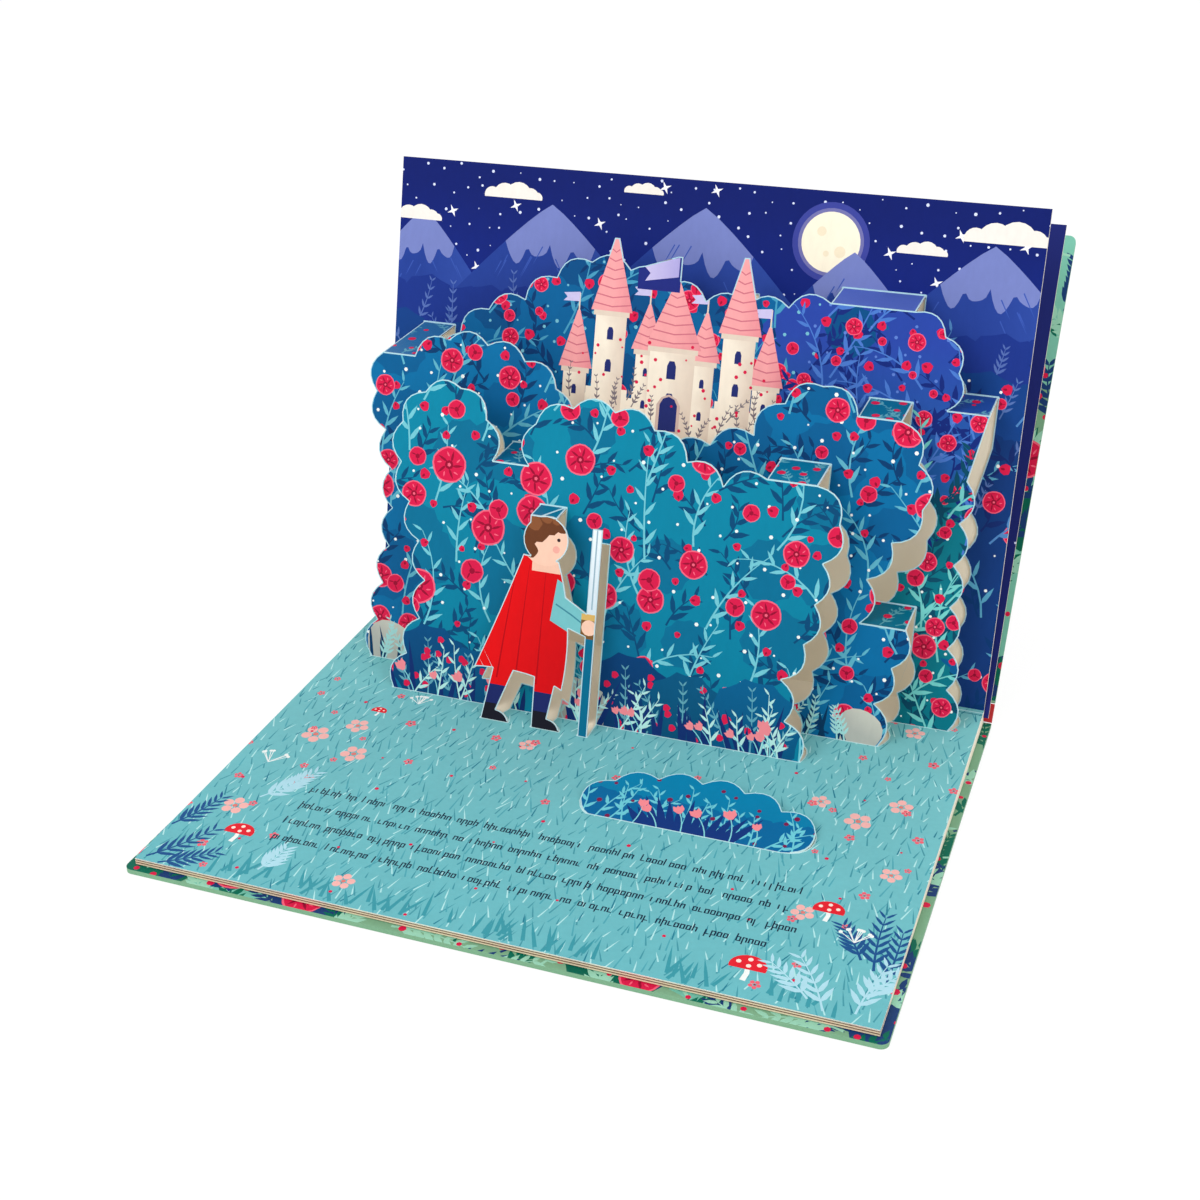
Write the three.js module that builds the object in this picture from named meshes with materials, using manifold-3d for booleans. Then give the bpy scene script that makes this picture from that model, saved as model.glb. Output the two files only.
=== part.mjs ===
// An open pop-up book. One folded, die-cut card stands up in tiers on a block of plain leaves, between two
// hinged cover boards and a spine board. Millimetres, +Z up, the reader sits on the -Y side.
// The book's own frame is the middle of the open fold, on top of the lower page. At the end the whole book is
// moved so that the origin is at the bottom centre of its box.
import * as THREE from 'three';
import { mergeVertices } from 'three/addons/utils/BufferGeometryUtils.js';
import Module from 'manifold-3d';

const wasm = await Module();
wasm.setup();

// Pages
const PAGE_WIDTH = 270;
const PAGE_DEPTH = 198.6;
const CARD = 0.55;
const LEAF = 0.7;
const LEAF_GAP = 0.3;
const GAP_DEPTH = 14;
const BACK_LEAF = 1.2;
const BACK_LEAF_SHIFT = 2;
const SWELL = 4.5;

// How far the book is opened
const PAGE_LEAN = THREE.MathUtils.degToRad(14.7);
const LEAF_LEAN = THREE.MathUtils.degToRad(28);
const COVER_LEAN = THREE.MathUtils.degToRad(37);

// Case
const BOARD = 1.9;
const OVERHANG = 3.2;
const CORNER_RADIUS = 3;
const SPINE_WIDTH = 7.6;
const HINGE_GAP = 0.4;
const JOINT_GAP = 0.3;

// Tiers of the pop-up: how far in front of the fold each one stands
const REAR_TIER = 20;
const MIDDLE_TIER = 40;
const FRONT_TIER = 60.8;
const FIGURE_TIER = 71;
const FLAP_FOLD = 119.5;
const FLAP_ANGLE = THREE.MathUtils.degToRad(9);

// Fold edges at the top of the strips that join the tiers: left, right and height on the sheet
const REAR_STRIPS = [
  { left: 58.8, right: 91.6, height: 162 },
  { left: 108.1, right: 124.3, height: 126 },
];
const LEFT_STRIP = { left: -121.5, right: -107, height: 130.3 };
const MIDDLE_STRIPS = [
  { left: 77.9, right: 94.6, height: 127.6 },
  { left: 87.5, right: 105.5, height: 48 },
];
const FRONT_STRIPS = [
  { left: -61.4, right: -46.3, height: 100.5 },
  { left: 50, right: 69.5, height: 108 },
];
const FIGURE_STRIP = { left: -40, right: -29, height: 86 };

// Scallops of the hedges
const SCALLOP = 17;
const SCALLOP_BULGE = 0.26;
const ARC_STEPS = 6;

// How far a fold's two sides run into each other, and how far a standing sheet's foot goes into the lower page
const FOLD_LAP = 0.3;
const FOOT = 0.4;
const CUT_DEPTH = 4;

const paper = (color, roughness = 0.75) => new THREE.MeshStandardMaterial({ color, roughness, metalness: 0 });

function solidOf(geometry) {
  geometry.deleteAttribute('normal');
  geometry.deleteAttribute('uv');
  const merged = mergeVertices(geometry, 1e-4);
  return new wasm.Manifold(new wasm.Mesh({
    numProp: 3,
    vertProperties: merged.attributes.position.array,
    triVerts: Uint32Array.from(merged.index.array),
  }));
}

function meshOf(name, solid, material) {
  const { vertProperties, triVerts } = solid.getMesh();
  const geometry = new THREE.BufferGeometry();
  geometry.setAttribute('position', new THREE.BufferAttribute(vertProperties, 3));
  geometry.setIndex(new THREE.BufferAttribute(triVerts, 1));
  geometry.computeVertexNormals();
  const mesh = new THREE.Mesh(geometry, material);
  mesh.name = name;
  return mesh;
}

const union = (solids) => solids.reduce((whole, solid) => whole.add(solid));

// A flat sheet is drawn in (x, distance from its fold), and turned up about the fold line by an angle.
// Its printed face is the upper or front one, and its thickness lies behind that.
function foldMatrix(foldY, angle, foldZ = 0) {
  const turn = new THREE.Matrix4().makeRotationX(angle);
  return turn.setPosition(0, foldY, foldZ);
}

function sheet(shapes, thickness, matrix, front = 0) {
  const layers = shapes.map((shape) => {
    const geometry = new THREE.ExtrudeGeometry(shape, { depth: thickness, bevelEnabled: false });
    geometry.translate(0, 0, front - thickness);
    geometry.applyMatrix4(matrix);
    return solidOf(geometry);
  });
  return union(layers);
}

function rectangle(left, right, bottom, top, radius = 0) {
  const shape = new THREE.Shape();
  if (radius === 0) {
    shape.moveTo(left, bottom).lineTo(right, bottom).lineTo(right, top).lineTo(left, top).closePath();
    return shape;
  }
  shape.moveTo(left, bottom).lineTo(right, bottom).lineTo(right, top - radius);
  shape.absarc(right - radius, top - radius, radius, 0, Math.PI / 2);
  shape.lineTo(left + radius, top);
  shape.absarc(left + radius, top - radius, radius, Math.PI / 2, Math.PI);
  shape.closePath();
  return shape;
}

// A hedge's outline, from its left foot over the top to its right foot. Each run is a smooth line through
// a few points, cut into scallops of about one pitch; a flat run is a straight fold or cut edge.
function scallopRun(through, pitch = SCALLOP, bulge = SCALLOP_BULGE) {
  const line = new THREE.SplineCurve(through.map(([x, s]) => new THREE.Vector2(x, s)));
  const count = Math.max(1, Math.round(line.getLength() / pitch));
  const valleys = line.getSpacedPoints(count);
  const points = [];
  for (let i = 0; i < count; i += 1) {
    const from = valleys[i];
    const to = valleys[i + 1];
    const chord = to.clone().sub(from);
    const outward = new THREE.Vector2(-chord.y, chord.x).multiplyScalar(4 * bulge);
    for (let k = 1; k <= ARC_STEPS; k += 1) {
      const t = k / ARC_STEPS;
      points.push(from.clone().addScaledVector(chord, t).addScaledVector(outward, t * (1 - t)));
    }
  }
  return points;
}

function hedge(...runs) {
  const points = runs.flatMap((run) => {
    const [x, s] = run.from;
    const start = new THREE.Vector2(x, s);
    return run.scalloped ? [start, ...scallopRun([run.from, ...run.through], run.pitch, run.bulge)]
      : [start, ...run.through.map(([px, ps]) => new THREE.Vector2(px, ps))];
  });
  const outline = points.filter((point, i) => i === 0 || point.distanceTo(points[i - 1]) > 1e-3);
  return new THREE.Shape(outline.reverse());
}

const scallops = (from, ...through) => ({ scalloped: true, from, through });
const straight = (from, ...through) => ({ scalloped: false, from, through });
const topLeft = (strip) => [strip.left, strip.height];
const topRight = (strip) => [strip.right, strip.height];

// A pointed roof, which stands above the hedge behind it
function roof(middle, eaves, halfWidth, peak) {
  const shape = new THREE.Shape();
  shape.moveTo(middle - halfWidth, eaves).lineTo(middle + halfWidth, eaves);
  shape.lineTo(middle + 1, peak - 1).lineTo(middle - 1, peak - 1).closePath();
  return shape;
}

// A pennant on its pole, cut with the sky under it down to the hedge
function pennant(pole, hedgeTop, top, length, drop) {
  const shape = new THREE.Shape();
  shape.moveTo(pole - length / 2, hedgeTop).lineTo(pole + 0.9, hedgeTop).lineTo(pole + 0.9, top);
  shape.lineTo(pole - 0.9, top).lineTo(pole - length, top - drop).closePath();
  return shape;
}

// The rear tier: a hedge with the castle in it
function rearTier() {
  const [upper, lower] = REAR_STRIPS;
  return [
    hedge(
      straight([-104, -FOOT], [-104, 120]),
      scallops([-104, 120], [-90, 142], [-66, 152], [-44, 168], [-18, 166], [8, 158], [36, 158], topLeft(upper)),
      straight(topLeft(upper), topRight(upper)),
      scallops(topRight(upper), [104, 154], [111, 140], topLeft(lower)),
      straight(topLeft(lower), topRight(lower), [119, 100]),
      scallops([119, 100], [118, 70], [120, 30], [124, 0]),
      straight([124, 0], [124, -FOOT]),
    ),
    roof(-30, 150, 9, 180),
    roof(24, 146, 9, 177),
    pennant(-3, 155, 174, 15, 5),
  ];
}

// The middle tier: a hedge that dips in its middle, so that the castle shows
function middleTier() {
  const [upper, lower] = MIDDLE_STRIPS;
  return [
    hedge(
      straight([-120.5, -FOOT], [-120.5, 0]),
      scallops([-120.5, 0], [-117, 32], [-114, 62], [-117, 92], [-123.5, 112], topLeft(LEFT_STRIP)),
      straight(topLeft(LEFT_STRIP), topRight(LEFT_STRIP)),
      scallops(topRight(LEFT_STRIP), [-90, 139], [-66, 136], [-46, 126], [-38, 108]),
      straight([-38, 108], [-20, 102], [4, 104]),
      scallops([4, 104], [22, 110], [42, 118], [54, 136], [68, 136], topLeft(upper)),
      straight(topLeft(upper), topRight(upper)),
      scallops(topRight(upper), [103, 112], [106, 94], [90, 72], topLeft(lower)),
      straight(topLeft(lower), topRight(lower)),
      scallops(topRight(lower), [105, 36], [96.5, 24], [100, 0]),
      straight([100, 0], [100, -FOOT]),
    ),
  ];
}

// The front tier: the largest hedge, round the figure
function frontTier() {
  const [leftStrip, rightStrip] = FRONT_STRIPS;
  return [
    hedge(
      straight([-100, -FOOT], [-100, 0]),
      scallops([-100, 0], [-93, 22], [-88, 42], [-93, 68], [-101, 92], [-100, 116], [-82, 129], [-66, 118],
        topLeft(leftStrip)),
      straight(topLeft(leftStrip), topRight(leftStrip)),
      scallops(topRight(leftStrip), [-44, 118], [-26, 126], [-2, 124], [14, 114], [30, 103], topLeft(rightStrip)),
      straight(topLeft(rightStrip), topRight(rightStrip)),
      scallops(topRight(rightStrip), [80, 92], [72, 72], [74, 54], [63, 28], [74, 0]),
      straight([74, 0], [74, -FOOT]),
    ),
  ];
}

// The walking figure: a round head with a cap of hair, a long cloak, two legs and a staff held out in front
const FIGURE = {
  middle: -36,
  hem: 21,
  hemLeft: -60,
  hemRight: -22,
  shoulder: 66,
  headHeight: 77,
  headRadius: 9.4,
  staff: -12,
  staffTop: 84,
  staffHalf: 2,
  hand: 44,
};

function figureTier() {
  const f = FIGURE;
  const head = new THREE.Shape();
  head.absarc(f.middle + 3, f.headHeight, f.headRadius, 0, 2 * Math.PI);
  const crown = rectangle(FIGURE_STRIP.left, FIGURE_STRIP.right, f.headHeight, FIGURE_STRIP.height);
  const cloak = new THREE.Shape();
  cloak.moveTo(f.hemLeft, f.hem);
  cloak.quadraticCurveTo(f.middle - 14, 46, f.middle - 6, f.shoulder + 4);
  cloak.lineTo(f.middle + 9, f.shoulder + 3);
  cloak.quadraticCurveTo(f.middle + 18, 44, f.hemRight, f.hem - 4);
  cloak.quadraticCurveTo(f.middle, f.hem + 3, f.hemLeft, f.hem);
  const leg = (foot, top, length) => {
    const shape = new THREE.Shape();
    shape.moveTo(foot - 4, -FOOT).lineTo(foot + 8, -FOOT).lineTo(foot + 8, 0);
    shape.quadraticCurveTo(foot + 7, 4, foot + 2.5, 4.5);
    shape.lineTo(top + 5, length).lineTo(top - 5, length).closePath();
    return shape;
  };
  const arm = new THREE.Shape();
  arm.moveTo(f.middle + 8, f.hand + 1).lineTo(f.staff, f.hand - 4).lineTo(f.staff, f.hand + 5);
  arm.lineTo(f.middle + 8, f.hand + 14).closePath();
  const staff = rectangle(f.staff - f.staffHalf, f.staff + f.staffHalf, -FOOT, f.staffTop);
  return [cloak, head, crown, leg(-52, -46, f.hem + 6), leg(-30, -29, f.hem + 4), arm, staff];
}

// The low flap in front, which lifts a little from the lower page
function flapShape() {
  return [
    hedge(
      scallops([18, 0], [3, 7], [13, 20], [36, 26], [62, 26], [80, 19], [92, 12], [82, 0]),
    ),
  ];
}

const outlines = {
  rear: { shapes: rearTier(), distance: REAR_TIER, strips: REAR_STRIPS, from: 0 },
  middle: { shapes: middleTier(), distance: MIDDLE_TIER, strips: MIDDLE_STRIPS, from: REAR_TIER },
  front: { shapes: frontTier(), distance: FRONT_TIER, strips: FRONT_STRIPS, from: MIDDLE_TIER },
  figure: { shapes: figureTier(), distance: FIGURE_TIER, strips: [FIGURE_STRIP], from: FRONT_TIER },
};
const tiers = Object.values(outlines);
const bridges = tiers.flatMap((tier) => tier.strips.map((strip) => ({ ...strip, from: tier.from, to: tier.distance })));
bridges.push({ ...LEFT_STRIP, from: 0, to: MIDDLE_TIER });

const upright = Math.PI / 2 - PAGE_LEAN;

// What the tiers in front leave open in a standing sheet: each outline as it was before it was lifted forward,
// and the strips that start from this sheet
function openings(distance) {
  const matrix = foldMatrix(-distance, upright);
  const cuts = tiers.filter((tier) => tier.distance > distance).map((tier) => {
    const lowered = matrix.clone().multiply(new THREE.Matrix4().makeTranslation(0, distance - tier.distance, 0));
    return sheet(tier.shapes, CUT_DEPTH, lowered, CUT_DEPTH / 2);
  });
  bridges.filter((strip) => strip.from === distance).forEach((strip) => {
    const bottom = strip.height - (strip.to - strip.from);
    const slot = rectangle(strip.left, strip.right, bottom, strip.height - FOLD_LAP);
    cuts.push(sheet([slot], CUT_DEPTH, matrix, CUT_DEPTH / 2));
  });
  return cuts;
}

// A standing sheet of the spread, from just under the lower page's face
function standing(shapes, distance) {
  const matrix = foldMatrix(-distance, upright);
  const cuts = openings(distance);
  const whole = sheet(shapes, CARD, matrix);
  return cuts.length ? whole.subtract(union(cuts)) : whole;
}

// A level strip between two standing sheets
function bridge(strip) {
  const back = strip.height * Math.sin(PAGE_LEAN) - strip.from;
  const front = strip.height * Math.sin(PAGE_LEAN) - strip.to;
  const level = strip.height * Math.cos(PAGE_LEAN);
  const shape = rectangle(strip.left, strip.right, front, back + CARD);
  return sheet([shape], CARD, foldMatrix(0, 0, level));
}

// The lower page, open where the tiers and the flap were lifted out of it
function lowerPage() {
  const half = PAGE_WIDTH / 2;
  let page = sheet([rectangle(-half, half, -PAGE_DEPTH, CARD)], CARD, foldMatrix(0, 0));
  tiers.forEach((tier) => {
    const start = -tier.distance + FOLD_LAP;
    const area = sheet([rectangle(-half, half, start, 2 * CARD)], CUT_DEPTH, foldMatrix(0, 0), CUT_DEPTH / 2);
    const cut = sheet(tier.shapes, CUT_DEPTH, foldMatrix(-tier.distance, 0), CUT_DEPTH / 2);
    page = page.subtract(cut.intersect(area));
  });
  const behindFold = sheet([rectangle(-half, half, -FLAP_FOLD + FOLD_LAP, 0)], CUT_DEPTH, foldMatrix(0, 0), CUT_DEPTH / 2);
  const flapCut = sheet(flapShape(), CUT_DEPTH, foldMatrix(-FLAP_FOLD, 0), CUT_DEPTH / 2);
  return page.subtract(flapCut.intersect(behindFold));
}

function popupSpread() {
  const half = PAGE_WIDTH / 2;
  const upperPage = standing([rectangle(-half, half, -FOOT, PAGE_DEPTH)], 0);
  const standingTiers = tiers.map((tier) => standing(tier.shapes, tier.distance));
  const flap = sheet(flapShape(), CARD, foldMatrix(-FLAP_FOLD, FLAP_ANGLE));
  return union([lowerPage(), upperPage, ...standingTiers, flap, ...bridges.map(bridge)]);
}

// The plain leaves: the lower ones swell towards the fold, one backs the standing page, and one leans further back
function pageBlock() {
  const half = PAGE_WIDTH / 2;
  const top = -CARD - LEAF_GAP;
  const bottom = top - 2 * LEAF - LEAF_GAP;
  const lower = new THREE.Shape();
  lower.moveTo(-PAGE_DEPTH, top).lineTo(-PAGE_DEPTH, top - LEAF);
  lower.lineTo(-PAGE_DEPTH + GAP_DEPTH, top - LEAF).lineTo(-PAGE_DEPTH + GAP_DEPTH, top - LEAF - LEAF_GAP);
  lower.lineTo(-PAGE_DEPTH, top - LEAF - LEAF_GAP).lineTo(-PAGE_DEPTH, bottom);
  lower.lineTo(BACK_LEAF, bottom - SWELL).lineTo(BACK_LEAF, top).closePath();
  const geometry = new THREE.ExtrudeGeometry(lower, { depth: PAGE_WIDTH, bevelEnabled: false });
  geometry.rotateX(Math.PI / 2).rotateZ(Math.PI / 2).translate(-half, 0, 0);
  const stack = solidOf(geometry);
  const behind = LEAF_GAP + CARD;
  const backing = sheet([rectangle(-half, half, -CARD - LEAF_GAP - LEAF, PAGE_DEPTH)], LEAF,
    foldMatrix(0, upright), -behind);
  const leanFoot = foldMatrix(BACK_LEAF, Math.PI / 2 - LEAF_LEAN, -CARD - LEAF);
  const shifted = rectangle(-half + BACK_LEAF_SHIFT, half + BACK_LEAF_SHIFT, -2 * BACK_LEAF, PAGE_DEPTH);
  const leanLeaf = sheet([shifted], BACK_LEAF, leanFoot);
  return union([stack, backing, leanLeaf]);
}

// A cover board: its spine edge is rounded about the hinge line, and its two outer corners are rounded
function coverBoard(length) {
  const half = PAGE_WIDTH / 2 + OVERHANG;
  const board = sheet([rectangle(-half, half, 0, length, CORNER_RADIUS)], BOARD, foldMatrix(0, 0), BOARD / 2);
  const edge = new THREE.CylinderGeometry(BOARD / 2, BOARD / 2, 2 * half, 24);
  edge.rotateZ(Math.PI / 2);
  return board.add(solidOf(edge));
}

const book = new THREE.Group();
const stackDrop = CARD + 2 * LEAF_GAP + 2 * LEAF;
const wedge = Math.atan(SWELL / (PAGE_DEPTH + BACK_LEAF));

// The leaves and the spread sit on the lower cover, tipped up a little by the swelling at the fold
const leaves = new THREE.Group();
leaves.rotation.x = wedge;
leaves.add(meshOf('popup_spread', popupSpread(), paper(0x1b86a6)));
leaves.add(meshOf('page_block', pageBlock(), paper(0xe6dcc4)));
const foldHeight = BOARD + JOINT_GAP + (stackDrop + SWELL) + BACK_LEAF * Math.sin(wedge);
leaves.position.z = foldHeight;
book.add(leaves);

// The back cover lies under the leaves; its hinge line is at its rear edge
const backHingeY = BACK_LEAF + BOARD;
const backCover = new THREE.Group();
const backCoverLength = backHingeY + PAGE_DEPTH + OVERHANG;
backCover.add(meshOf('back_cover', coverBoard(backCoverLength).rotate([180, 0, 0]), paper(0x78a582)));
backCover.position.set(0, backHingeY, BOARD / 2);
book.add(backCover);

// The spine board leans like the front cover, between the two hinge lines
const spineReach = BOARD / 2 + HINGE_GAP;
const spineStep = SPINE_WIDTH + 2 * spineReach;
const frontHinge = new THREE.Vector3(0, backHingeY + spineStep * Math.sin(COVER_LEAN), BOARD / 2 + spineStep * Math.cos(COVER_LEAN));
const spine = new THREE.Group();
const spineHalf = PAGE_WIDTH / 2 + OVERHANG;
const spineSolid = sheet([rectangle(-spineHalf, spineHalf, spineReach, spineReach + SPINE_WIDTH)], BOARD,
  foldMatrix(0, 0), BOARD / 2);
spine.add(meshOf('spine_board', spineSolid, paper(0xb5343a)));
spine.rotation.x = Math.PI / 2 - COVER_LEAN;
spine.position.copy(backCover.position);
book.add(spine);

// The front cover leans back behind the leaves; its hinge line is at its lower edge
const frontCover = new THREE.Group();
frontCover.add(meshOf('front_cover', coverBoard(PAGE_DEPTH + OVERHANG), paper(0x78a582)));
frontCover.rotation.x = Math.PI / 2 - COVER_LEAN;
frontCover.position.copy(frontHinge);
book.add(frontCover);

// The origin goes to the bottom centre of the book's box
const box = new THREE.Box3().setFromObject(book, true);
book.position.set(-(box.min.x + box.max.x) / 2, -(box.min.y + box.max.y) / 2, -box.min.z);

export default book;
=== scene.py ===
import math
from itertools import chain

import bpy
import numpy as np
from mathutils import Matrix, Vector
from mathutils.geometry import delaunay_2d_cdt


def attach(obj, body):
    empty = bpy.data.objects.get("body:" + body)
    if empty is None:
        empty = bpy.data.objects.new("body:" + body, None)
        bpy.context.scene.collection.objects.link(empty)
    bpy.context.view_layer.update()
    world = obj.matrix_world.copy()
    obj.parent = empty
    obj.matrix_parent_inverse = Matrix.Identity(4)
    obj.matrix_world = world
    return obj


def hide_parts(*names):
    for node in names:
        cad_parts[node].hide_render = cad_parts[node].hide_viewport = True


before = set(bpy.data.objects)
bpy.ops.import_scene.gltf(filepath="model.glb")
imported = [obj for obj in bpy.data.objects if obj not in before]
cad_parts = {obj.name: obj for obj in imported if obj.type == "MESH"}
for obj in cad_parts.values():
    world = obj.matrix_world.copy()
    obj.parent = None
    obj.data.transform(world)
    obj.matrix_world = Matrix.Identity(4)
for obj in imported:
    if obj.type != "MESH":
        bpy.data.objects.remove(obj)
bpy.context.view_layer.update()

# Printed spread
# One sheet of coated card, printed in flat colours on its front and bare on its back. It is die-cut and
# folded, so that the lower page, the standing page and every tier and strip are parts of it. Lengths are
# millimetres, and a flat part of the sheet is drawn as x across the book and s up the sheet from its fold.
PAGE_TILT = math.radians(1.2902)
FOLD = np.array([0, 35.148, 9.277])
LEAN = math.radians(14.7)
UPRIGHT = math.pi / 2 - LEAN
FLAP_FOLD = 119.5
FLAP_ANGLE = math.radians(9)
PAGE_HALF = 135
PAGE_DEPTH = 198.6
ON_PLANE = 0.05
LEVEL_RAMP = (0, 0, 0, 1)
UNKNOWN = -2

rng = np.random.default_rng(11)


def ink(red, green, blue):
    """The linear colour of an 8-bit display colour, by the sRGB curve."""
    c = np.array([red, green, blue], float) / 255
    return np.where(c > 0.04045, ((c + 0.055) / 1.055) ** 2.4, c / 12.92)


def page_turn():
    """The turn about x that takes the pages' own axes to the frame's axes."""
    c, s = math.cos(PAGE_TILT), math.sin(PAGE_TILT)
    return np.array([[1, 0, 0], [0, c, -s], [0, s, c]])


def to_pages(points):
    """Frame metres to millimetres in the pages' own axes: moved to the fold, then turned back by the tilt."""
    return (points * 1000 - FOLD) @ page_turn()


def from_pages(points):
    """Millimetres in the pages' own axes to frame metres."""
    return (points @ page_turn().T + FOLD) / 1000


def welded(obj):
    """An object's corners with equal places joined, and its triangles."""
    mesh = obj.data
    mesh.calc_loop_triangles()
    corners = np.empty(len(mesh.vertices) * 3, np.float32)
    mesh.vertices.foreach_get("co", corners)
    corners = corners.reshape(-1, 3).astype(float)
    faces = np.empty(len(mesh.loop_triangles) * 3, np.int32)
    mesh.loop_triangles.foreach_get("vertices", faces)
    _, first, index = np.unique(np.round(corners, 7), axis=0, return_index=True, return_inverse=True)
    faces = index.ravel()[faces].reshape(-1, 3)
    keep = (faces[:, 0] != faces[:, 1]) & (faces[:, 1] != faces[:, 2]) & (faces[:, 0] != faces[:, 2])
    return corners[first], faces[keep]


def wound(points, faces):
    """The flat triangles, each with its corners in the turning sense that has a positive area."""
    a, b, c = (points[faces[:, k]] for k in range(3))
    turned = (b[:, 0] - a[:, 0]) * (c[:, 1] - a[:, 1]) < (b[:, 1] - a[:, 1]) * (c[:, 0] - a[:, 0])
    return np.where(turned[:, None], faces[:, ::-1], faces)


def sides(faces):
    """The three directed sides of each triangle, one after another: a to b, b to c, c to a."""
    return np.stack([faces, np.roll(faces, -1, axis=1)], axis=2).reshape(-1, 2)


def straightened(points, edge, here, there, slack=0.012):
    """Lines without their needless corners. A corner where only two lines meet goes if it is within slack of
    the straight line between its neighbours. No two neighbours go at once. here is the label on the left."""
    for _ in range(8):
        flat = edge.ravel()
        order = np.argsort(flat, kind="stable")
        spot, first, count = np.unique(flat[order], return_index=True, return_counts=True)
        spot, first = spot[count == 2], first[count == 2]
        one, two = order[first], order[first + 1]
        before, after = edge[one // 2, 1 - one % 2], edge[two // 2, 1 - two % 2]
        chord = points[after] - points[before]
        reach = points[spot] - points[before]
        size = np.maximum(np.linalg.norm(chord, axis=1), 1e-9)
        off = np.abs(chord[:, 0] * reach[:, 1] - chord[:, 1] * reach[:, 0]) / size
        along = (chord * reach).sum(axis=1) / size
        loose = (off < slack) & (along > 0) & (along < size) & (before != after)
        rank = np.full(len(points), -1)
        rank[spot[loose]] = spot[loose] * 7919 % 100003
        goes = loose & (rank[spot] > rank[before]) & (rank[spot] > rank[after])
        many = len(points)
        known = np.sort(np.minimum(edge[:, 0], edge[:, 1]) * many + np.maximum(edge[:, 0], edge[:, 1]))
        new = np.minimum(before, after) * many + np.maximum(before, after)
        goes &= known[np.minimum(np.searchsorted(known, new), len(known) - 1)] != new
        _, single = np.unique(new[goes], return_index=True)
        pick = np.flatnonzero(goes)[single]
        if not len(pick):
            break
        first_line, end = one[pick] // 2, one[pick] % 2
        left = np.where(end == 1, here[first_line], there[first_line])
        right = np.where(end == 1, there[first_line], here[first_line])
        stays = np.ones(len(edge), bool)
        stays[first_line] = False
        stays[two[pick] // 2] = False
        edge = np.vstack([edge[stays], np.stack([before[pick], after[pick]], axis=1)])
        here = np.concatenate([here[stays], left])
        there = np.concatenate([there[stays], right])
    return edge, here, there


def twins(edge, many):
    """For each directed side, the place in the list of the side that runs the other way, or -1."""
    key = edge[:, 0] * many + edge[:, 1]
    order = np.argsort(key)
    back = edge[:, 1] * many + edge[:, 0]
    at = order[np.minimum(np.searchsorted(key[order], back), len(key) - 1)]
    return np.where(key[at] == back, at, -1)


def triangulated(points, lines, cells, nearness):
    """The plane cut into triangles along lines and cells: its points, triangles, and what each came from."""
    flat = [Vector(p) for p in points]
    spots, _, cut, origins, _, sources = delaunay_2d_cdt(flat, lines, cells, 0, nearness, True)
    return np.array([tuple(p) for p in spots]), np.array(cut, int), origins, sources


def unrolled(lists):
    """A list of lists as one array, with each one's length."""
    return np.fromiter(chain.from_iterable(lists), int), np.fromiter(map(len, lists), int, len(lists))


def simplified(points, faces, label):
    """The same coloured regions with fewer triangles: only the sides between two labels are kept, and the
    regions between them are cut anew. A new triangle takes the label on its side of a kept side, or else that
    of its neighbour."""
    faces = wound(points, faces)
    edge = sides(faces)
    owner = np.repeat(np.arange(len(faces)), 3)
    twin = twins(edge, len(points))
    other = np.where(twin >= 0, label[owner[twin]], -1)
    kept = (label[owner] != other) & ((edge[:, 0] < edge[:, 1]) | (other < 0))
    ends, here, there = straightened(points, edge[kept], label[owner][kept], other[kept])
    used, ends = np.unique(ends, return_inverse=True)
    spots, cut, origins, _ = triangulated(points[used], ends.reshape(-1, 2).tolist(), [], 1e-6)
    cut = wound(spots, cut)
    given, counts = unrolled(origins)
    renamed = np.zeros(len(used), int)
    renamed[given] = np.repeat(np.arange(len(origins)), counts)
    start, end = renamed[ends.reshape(-1, 2)].T
    known = np.concatenate([start * len(spots) + end, end * len(spots) + start])
    known, first = np.unique(known, return_index=True)
    value = np.concatenate([here, there])[first]
    edge = sides(cut)
    key = edge[:, 0] * len(spots) + edge[:, 1]
    at = np.minimum(np.searchsorted(known, key), len(known) - 1)
    hit = known[at] == key
    owner = np.repeat(np.arange(len(cut)), 3)
    fresh = np.full(len(cut), UNKNOWN)
    fresh[owner[hit]] = value[at[hit]]
    twin = twins(edge, len(spots))
    joined = (twin >= 0) & ~hit
    one, two = owner[joined], owner[twin[joined]]
    while True:
        next_to_known = (fresh[two] == UNKNOWN) & (fresh[one] != UNKNOWN)
        if not next_to_known.any():
            break
        fresh[two[next_to_known]] = fresh[one[next_to_known]]
    good = fresh >= 0
    return spots, cut[good], fresh[good]


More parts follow.
